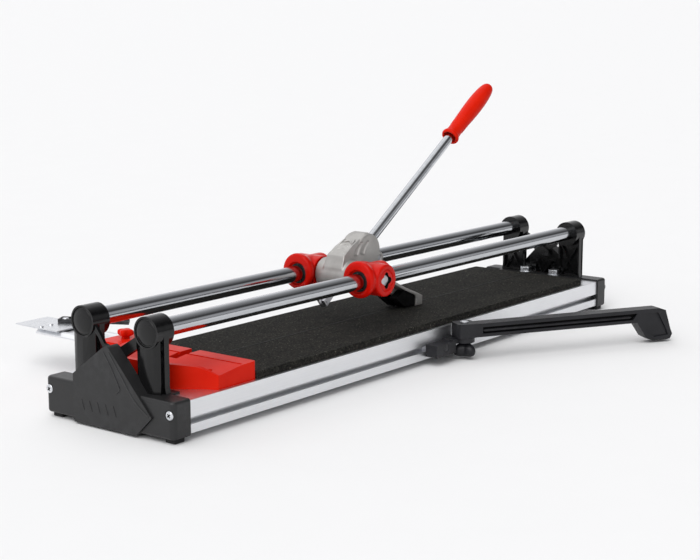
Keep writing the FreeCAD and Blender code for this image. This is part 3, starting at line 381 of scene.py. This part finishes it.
def acetal():
    look = Look("acetal_bush", (0.62, 0.61, 0.57), 0.45)
    clouds = look.noise(120.0, detail=4)
    look.tint(clouds, (0.55, 0.54, 0.50), (0.68, 0.67, 0.62))
    look.vary_roughness(look.noise(400.0, detail=3), 0.38, 0.55)
    look.bump(look.noise(1500.0, detail=2), 0.00006, 0.2)
    return look.material


build_camera()
build_world()
build_floor()

LOOKS = {
    "aluminium": extruded_aluminium(),
    "dark_steel": cast_metal("blackened_steel", (0.03, 0.03, 0.032), (0.06, 0.06, 0.063), 0.5, 0.8),
    "pad_rubber": tile_pad(),
    "black_casting": black_moulding(
        "black_support", (0.0125, 0.0125, 0.013), (0.0140, 0.0140, 0.0147), 0.40, 0.42),
    "black_plastic": black_moulding(
        "black_moulding", (0.007, 0.007, 0.009), (0.013, 0.013, 0.016), 0.42, 0.34),
    "rubber": soft_rubber(),
    "zinc": plated("zinc_plate", (0.62, 0.64, 0.67), (0.80, 0.81, 0.83), 0.26),
    "chrome": chromed(),
    "red_plastic": red_moulding("red_moulding", (0.62, 0.012, 0.003), (0.68, 0.016, 0.004), 0.30, 0.06),
    "bush_plastic": acetal(),
    "steel": plated("ground_steel", (0.42, 0.42, 0.44), (0.58, 0.58, 0.60), 0.30),
    "grey_casting": cast_metal("grey_casting", (0.36, 0.35, 0.335), (0.47, 0.46, 0.445), 0.42),
}


# ---------------------------------------------------------------- pieces


def new_piece(name, bm, body, slot, *nodes, sharp=35.0, look=None):
    """Turn a bmesh in the row frame into a piece that rides on a body."""
    mesh = bpy.data.meshes.new(name)
    bm.to_mesh(mesh)
    bm.free()
    piece = bpy.data.objects.new(name, mesh)
    bpy.context.scene.collection.objects.link(piece)
    mesh.materials.append(look or LOOKS[slot])
    mesh.shade_smooth()
    mesh.set_sharp_from_angle(angle=math.radians(sharp))
    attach(piece, body)
    if nodes:
        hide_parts(*nodes)
    return piece


def cad_shape(node):
    """The CAD node's shape as a clean bmesh: welded, with whole flat faces."""
    bm = bmesh.new()
    bm.from_mesh(NODES[node].data)
    bmesh.ops.remove_doubles(bm, verts=bm.verts, dist=1e-6)
    bmesh.ops.dissolve_limit(bm, angle_limit=math.radians(0.4), verts=bm.verts, edges=bm.edges)
    return bm


def rounding(piece, bevel):
    edges = piece.modifiers.new("edges", "BEVEL")
    edges.width = bevel * MM
    edges.segments = 3
    edges.limit_method = "ANGLE"
    edges.angle_limit = math.radians(32.0)
    piece.modifiers.new("shading", "WEIGHTED_NORMAL").keep_sharp = True


def refined(node, bevel):
    """CAD shape with its sharp edges rounded."""
    piece = new_piece(node + ".finish", cad_shape(node), BODY[node], SLOT[node], node)
    rounding(piece, bevel)
    return piece


def cast(node, voxel, passes, look=None):
    """CAD shape with every corner softened, as a casting or a soft moulding has them."""
    piece = new_piece(node + ".cast", cad_shape(node), BODY[node], SLOT[node], node,
                      sharp=180.0, look=look)
    skin = piece.modifiers.new("skin", "REMESH")
    skin.mode = "VOXEL"
    skin.voxel_size = voxel * MM
    skin.use_smooth_shade = True
    relax = piece.modifiers.new("relax", "SMOOTH")
    relax.factor = 0.5
    relax.iterations = passes


def basis(axis, toward):
    """Rotation whose third column is the axis and whose first leans toward a direction."""
    third = Vector(axis).normalized()
    first = Vector(toward)
    first = (first - first.dot(third) * third).normalized()
    return Matrix((first, third.cross(first), third)).transposed()


def round_ring(bm, centre, turn, radius, height, segments, lobes=0, depth=0.0):
    """Ring of vertices; radius and height are in mm."""
    ring = []
    for step in range(segments):
        angle = 2 * math.pi * step / segments
        swell = 1 + depth * math.cos(lobes * angle)
        local = Vector((radius * swell * math.cos(angle), radius * swell * math.sin(angle), height))
        ring.append(bm.verts.new(centre + turn @ (local * MM)))
    return ring


def bridge(bm, rings):
    """Faces between neighbouring rings of equally many vertices."""
    for low, high in zip(rings, rings[1:]):
        count = len(low)
        for step in range(count):
            after = (step + 1) % count
            bm.faces.new((low[step], low[after], high[after], high[step]))


def skin(bm, rings):
    """Closed surface through rings."""
    bridge(bm, rings)
    bm.faces.new(rings[0][::-1])
    bm.faces.new(rings[-1])


def lathe(bm, centre, turn, profile, segments=72, lobes=0, depth=0.0):
    """Surface of a (radius, height) profile in mm round the turn's third axis.  With lobes,
    the radius swells and shrinks round it by a share of itself."""
    skin(bm, [round_ring(bm, centre, turn, radius, height, segments, lobes, depth)
              for radius, height in profile])


def smooth_profile(points, steps=5):
    """Catmull-Rom curve through (radius, height) points."""
    curve = []
    count = len(points)
    for index in range(count - 1):
        before, start = points[max(index - 1, 0)], points[index]
        end, after = points[index + 1], points[min(index + 2, count - 1)]
        for step in range(steps):
            t = step / steps
            curve.append(tuple(
                0.5 * (2 * b + (c - a) * t + (2 * a - 5 * b + 4 * c - d) * t * t
                       + (3 * b - a - 3 * c + d) * t ** 3)
                for a, b, c, d in zip(before, start, end, after)))
    return curve + [points[-1]]


def recessed_disc(bm, centre, turn, rim, outline, depth):
    """Disc head: a (radius, height) rim, whose flat top holds a recess of a given outline."""
    rings = [round_ring(bm, centre, turn, radius, height, 48) for radius, height in rim]
    bridge(bm, rings)
    top = rim[-1][1]

    def drawn(share, height):
        return [bm.verts.new(centre + turn @ (Vector((x * share, y * share, height)) * MM))
                for x, y in outline]

    mouth = drawn(1.0, top)
    floor = drawn(0.8, top - depth)
    loops = [[turn.transposed() @ (v.co - centre) for v in loop] for loop in (rings[-1], mouth)]
    joined = rings[-1] + mouth
    for corners in geometry.tessellate_polygon(loops):
        face = bm.faces.new([joined[corner] for corner in corners])
        face.normal_update()
        if face.normal.dot(turn.col[2]) < 0:
            face.normal_flip()
    count = len(mouth)
    # The recess's walls and floor take the second material, which callers fill with painted shade.
    for k in range(count):
        wall = (mouth[k], mouth[(k + 1) % count], floor[(k + 1) % count], floor[k])
        bm.faces.new(wall).material_index = 1
    bm.faces.new(floor).material_index = 1
    bm.faces.new(rings[0][::-1])


def cross(reach, half):
    """Outline of a plus-shaped recess."""
    corner = [(half, reach), (half, half), (reach, half)]
    points = []
    for quarter in range(4):
        turn = quarter * math.pi / 2
        for x, y in corner:
            points.append((x * math.cos(turn) + y * math.sin(turn),
                           -x * math.sin(turn) + y * math.cos(turn)))
    return points[::-1]


def bead(bm, points, radius):
    """Round ridge swept along points in metres; its ends are drawn in."""
    sides = 10
    path = [Vector(point) for point in points]
    rings = []
    for index, point in enumerate(path):
        ahead = path[min(index + 1, len(path) - 1)] - path[max(index - 1, 0)]
        turn = basis(ahead, (0.31, 0.17, 0.93))
        at_end = index in (0, len(path) - 1)
        swell = radius * MM * (0.45 if at_end else 1.0)
        ring = []
        for step in range(sides):
            angle = 2 * math.pi * step / sides
            local = Vector((swell * math.cos(angle), swell * math.sin(angle), 0))
            ring.append(bm.verts.new(point + turn @ local))
        rings.append(ring)
    skin(bm, rings)


def curve_through(points, steps=6):
    return [Vector(point) for point in smooth_profile([tuple(point) for point in points], steps)]


def middle(node):
    low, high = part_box(node)
    return (low + high) / 2


def islands(node):
    """Centres and half sizes of a node's separate solids."""
    bm = cad_shape(node)
    left = set(bm.verts)
    found = []
    while left:
        stack = [left.pop()]
        group = []
        while stack:
            vert = stack.pop()
            group.append(vert.co.copy())
            for edge in vert.link_edges:
                other = edge.other_vert(vert)
                if other in left:
                    left.discard(other)
                    stack.append(other)
        low = Vector([min(co[k] for co in group) for k in range(3)])
        high = Vector([max(co[k] for co in group) for k in range(3)])
        found.append(((low + high) / 2, (high - low) / 2))
    bm.free()
    return sorted(found, key=lambda item: tuple(round(v, 4) for v in item[0]))


# Nodes that don't look like the rest of their material slot.
OWN_LOOK = {
    "breaking_rib": "rubber", "clamp_bolt": "dark_steel", "bar_wipers": "rubber",
    "boss_screws": "steel",
}
for node, piece in NODES.items():
    piece.data.materials.clear()
    piece.data.materials.append(LOOKS[OWN_LOOK.get(node, SLOT[node])])

GLOSS_RED = red_moulding("red_lacquer", (0.52, 0.005, 0.0015), (0.58, 0.007, 0.0025), 0.16, 0.12)
GLOSS_BLACK = black_moulding(
    "black_gloss", (0.0020, 0.0020, 0.0023), (0.0030, 0.0030, 0.0034), 0.18, 0.36, grain=0.25)
# Near-black material that paints shade into recesses, channels and hollows.
PAINTED_SHADE = black_moulding("painted_recess_shade", (0.001, 0.001, 0.001), (0.003, 0.003, 0.003), 0.5, 0.05)

for node, bevel in (
    ("front_stop", 1.4), ("base_profile", 0.35), ("tile_pad_near", 0.6), ("tile_pad_far", 0.6),
    ("swing_arm", 1.6), ("arm_clamp", 1.4), ("rule_guide", 0.8), ("side_rule", 0.3),
    ("rule_end_plate", 0.25), ("mitre_bar", 0.5), ("support_feet", 0.8),
    ("hold_down_bolts", 0.6), ("hold_down_washers", 0.3),
):
    refined(node, bevel)

cast("lever_casting", 1.1, 6)
cast("breaker_foot", 0.9, 3)
cast("housing_near", 1.0, 7, look=GLOSS_RED)
cast("housing_far", 1.0, 7, look=GLOSS_RED)


def outer_face(node, sign):
    """Where the node's outer face lies along X, at the front (-1) or rear (1) end."""
    low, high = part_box(node)
    return low.x if sign < 0 else high.x


def supports():
    """Textured beam and plate, glossy posts and sockets."""
    behind_plate, above_beam, above_plate = 0.0175, 0.057, 0.118
    for node, sign in SUPPORTS:
        support = refined(node, 1.1)
        support.data.materials.append(GLOSS_BLACK)
        face = outer_face(node, sign)
        for polygon in support.data.polygons:
            deep = (polygon.center.x - face) * -sign
            rise = polygon.center.z
            if deep > behind_plate and rise > above_beam or rise > above_plate:
                polygon.material_index = 1


def support_details():
    """Beads along the plate's edge and a row of slanted dashes in place of lettering."""
    for node, sign in SUPPORTS:
        face = outer_face(node, sign)
        side = -sign
        bm = bmesh.new()

        def at(aside, rise):
            return (face, side * aside * MM, rise * MM)

        bead(bm, curve_through([at(2, 107), at(-9, 92), at(-19, 76), at(-28, 60)]), 0.9)
        bead(bm, curve_through([at(-28, 60), at(-25, 57), at(-21, 53.5)]), 0.9)
        bead(bm, curve_through([at(-8, 107), at(-30, 79), at(-54, 49), at(-79, 32)]), 1.0)
        for index in range(5):
            aside = 46 - index * 15
            bead(bm, [at(aside, 36), at(aside - 5, 22)], 1.6)
        new_piece(node + ".relief", bm, "base", "black_casting", sharp=60.0)


def caps():
    """Domed caps, each with a groove inside its rim."""
    for end, sign in (("front", -1), ("rear", 1)):
        for side in ("near", "far"):
            node = "%s_cap_%s" % (end, side)
            centre = middle(node)
            low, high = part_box(node)
            centre.x = high.x if sign < 0 else low.x
            radius = (high.y - low.y) / 2 / MM
            thick = (high.x - low.x) / MM
            turn = basis((sign, 0, 0), (0, 0, 1))
            rim = [(radius * 0.3, 0), (radius, 0), (radius, thick - 3.2),
                   (radius - 0.5, thick - 2.5), (radius - 1.3, thick - 2.2),
                   (radius - 2.0, thick - 2.5), (radius - 2.6, thick - 2.0)]
            dome = smooth_profile([(radius - 2.6, thick - 2.0), (radius * 0.72, thick - 1.2),
                                   (radius * 0.4, thick - 0.3), (radius * 0.02, thick)])
            bm = bmesh.new()
            lathe(bm, centre, turn, rim + dome[1:])
            new_piece(node + ".dome", bm, "base", "black_plastic", node, sharp=50.0,
                      look=GLOSS_BLACK)


def screws():
    """Cross recess heads of the supports' screws."""
    head_tall = 2.2 * MM
    bm = bmesh.new()
    for centre, half in islands("support_screws"):
        sign = -1 if centre.x < 0 else 1
        radius = half.y / MM
        head = Vector((centre.x + sign * (half.x - head_tall), centre.y, centre.z))
        rim = [(radius, 0), (radius, 1.0), (radius - 0.5, 1.6), (radius - 1.6, 2.0),
               (radius - 2.4, 2.1)]
        turn = basis((sign, 0, 0), (0, 0.6, 0.8))
        recessed_disc(bm, head, turn, rim, cross(3.1, 0.95), 2.0)
    heads = new_piece("support_screws.heads", bm, "base", "zinc", "support_screws", sharp=40.0)
    # The second material paints shade into the cross recesses.
    heads.data.materials.append(PAINTED_SHADE)


def handle():
    """Grip turned about the rod, with an open rim round the rod at its foot."""
    axis = Vector((math.cos(HANDLE_LEAN), 0, math.sin(HANDLE_LEAN)))
    grip_long = 0.144
    rod_middle = middle("handle_rod")
    centre = rod_middle + axis * (middle("hand_grip") - rod_middle).dot(axis)
    turn = basis(axis, (0, 1, 0))
    base = centre - axis * (grip_long / 2)
    outer = smooth_profile([
        (11.2, 0.4), (13.6, 0.2), (15.2, 2.6), (14.6, 6.0), (12.6, 10.0), (11.9, 20.0), (12.5, 36.0),
        (13.6, 58.0), (14.4, 80.0), (14.4, 98.0), (13.6, 114.0), (12.0, 128.0), (9.4, 138.0),
        (5.0, 143.2), (0.3, 144.0)], 6)
    inner = [(8.2, 9.0), (9.4, 7.0), (10.4, 3.0)]
    bm = bmesh.new()
    lathe(bm, base, turn, inner + outer, segments=96)
    new_piece("hand_grip.body", bm, "lever", SLOT["hand_grip"], "hand_grip", sharp=60.0)
    bm = bmesh.new()
    for index in range(7):
        height = 26.0 + index * 5.0
        swell = 12.2 + index * 0.16
        lathe(bm, base, turn, [(swell - 0.6, height - 1.0), (swell + 0.25, height - 0.4),
                               (swell + 0.25, height + 0.4), (swell - 0.6, height + 1.0)])
    new_piece("hand_grip.ribs", bm, "lever", SLOT["hand_grip"], sharp=60.0)


def lobed_knob(node, toward, lobes, depth, outline):
    """Upright lobed knob, whose outline is made from its height in mm."""
    centre = middle(node)
    low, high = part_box(node)
    profile = smooth_profile(outline((high.z - low.z) / MM), 4)
    foot = Vector((centre.x, centre.y, low.z))
    turn = basis((0, 0, 1), toward)
    bm = bmesh.new()
    lathe(bm, foot, turn, profile, segments=96, lobes=lobes, depth=depth)
    new_piece(node + ".lobes", bm, BODY[node], SLOT[node], node, sharp=80.0)


def knobs():
    def wing_outline(tall):
        return [(6.2, 0), (11.0, 0.6), (14.2, 3.5), (15.4, 8.5), (14.6, 13.5),
                (11.0, tall - 4.5), (7.0, tall - 1.2), (6.2, tall)]

    def lock_outline(tall):
        return [(5.6, 0), (5.8, 2.6), (8.4, 4.0), (10.4, 5.6), (10.8, 8.2),
                (10.2, tall - 2.2), (7.0, tall - 0.5), (0.4, tall - 0.1)]

    wing_toward = (math.cos(WING_TURN), math.sin(WING_TURN), 0)
    lobed_knob("wing_knob", wing_toward, 3, 0.26, wing_outline)
    lobed_knob("rule_lock_knob", (1, 0.4, 0), 4, 0.17, lock_outline)


def boss_details():
    """Lobed collar in the mouth of each boss."""
    for name in ("near", "far"):
        low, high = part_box("housing_" + name)
        sign = -1 if name == "near" else 1
        outer = low.y if sign < 0 else high.y
        shaft = middle("cross_shaft")
        mouth = Vector((shaft.x, outer, shaft.z))
        rim = [(16.4, -8.0), (16.4, -2.4), (15.8, -1.6), (14.8, -1.3)]
        star = []
        star_steps = 48
        for step in range(star_steps):
            angle = 2 * math.pi * step / star_steps
            radius = 10.6 + 2.2 * math.cos(4 * angle)
            star.append((radius * math.cos(angle), radius * math.sin(angle)))
        bm = bmesh.new()
        recessed_disc(bm, mouth, basis((0, sign, 0), (0, 0.4, 1)), rim, star, 6.2)
        collar = new_piece("boss_collar_" + name, bm, "carriage", "red_plastic", sharp=40.0,
                           look=GLOSS_RED)
        # The second material paints shade into the lobed recess.
        collar.data.materials.append(PAINTED_SHADE)


def arm_details():
    """Painted shade on the floor of the arm's channel, and its raised middle band."""
    pivot = middle("arm_pivot_bolt")
    along = Vector((math.cos(ARM_TURN), math.sin(ARM_TURN), 0))
    inward = Vector((-math.sin(ARM_TURN), math.cos(ARM_TURN), 0))
    floor_aside, floor_slack, knuckle_reach = 0.0125, 0.0006, 0.03
    arm = bpy.data.objects["swing_arm.finish"]
    # The channel's floor faces get near-black painted shade.
    arm.data.materials.append(PAINTED_SHADE)
    for polygon in arm.data.polygons:
        offset = polygon.center - pivot
        on_floor = abs(offset.dot(inward) + floor_aside) < floor_slack
        if on_floor and offset.dot(along) > knuckle_reach:
            polygon.material_index = 1
    band_rise, band_aside, band_radius = 0.0455, 0.0128, 2.5
    start = Vector((pivot.x, pivot.y, band_rise)) + inward * -band_aside
    bm = bmesh.new()
    bead(bm, [start + along * share for share in (0.027, 0.03, 0.15, 0.292, 0.296)], band_radius)
    new_piece("swing_arm.band", bm, "arm", SLOT["swing_arm"], sharp=60.0)


def breaker_shade_pads():
    """Near-black pads under the two wings of the breaker foot, which paint the shade of the foot's
    hollow.
    """
    low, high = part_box("breaker_foot")
    points = [(high.x - 0.019, 0.0), (high.x - 0.045, 0.0), (high.x - 0.072, 0.018),
              (high.x - 0.048, 0.0295), (high.x - 0.019, 0.0165)]
    bm = bmesh.new()
    for aside in (-1, 1):
        inner, outer = 0.0045 * aside, 0.0185 * aside
        skin(bm, [[bm.verts.new((x, y, low.z + 0.001 + z)) for x, z in points]
                  for y in (inner, outer)])
    bmesh.ops.recalc_face_normals(bm, faces=bm.faces)
    rounding(new_piece("breaker_foot.shade_pads", bm, "breaker", "rubber", look=PAINTED_SHADE), 0.8)


def casting_relief():
    """Three curved ridges and a rim along each edge of the casting's sloping face."""
    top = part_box("lever_casting")[1].z
    hub = middle("cross_shaft")
    bm = bmesh.new()

    def on_slope(along, aside):
        """A point on the slope: along it from its foot (mm) and across it."""
        x = hub.x + (-12 + along * 0.86) * MM
        z = top + (-28.6 + along * 0.5) * MM
        return (x, aside * MM, z)

    for along in (10, 20, 30):
        ridge = [on_slope(along, -9), on_slope(along + 6, -1), on_slope(along + 2, 8)]
        bead(bm, curve_through(ridge), 1.5)
    for side in (-1, 1):
        rim = [on_slope(2, side * 11.5), on_slope(20, side * 11.5), on_slope(40, side * 9.5)]
        bead(bm, curve_through(rim), 1.1)
    new_piece("lever_casting.relief", bm, "lever", "grey_casting", sharp=60.0)


supports()
support_details()
caps()
screws()
handle()
knobs()
boss_details()
arm_details()
breaker_shade_pads()
casting_relief()


# ---------------------------------------------------------------- lamps and finish

soft_sun("key", (0.75, 0.25, -1.0), 1.5, 55.0)
soft_sun("overhead", (-0.1, -0.35, -1.0), 0.7, 70.0)

bpy.context.scene.view_settings.view_transform = "Standard"
bpy.context.view_layer.update()
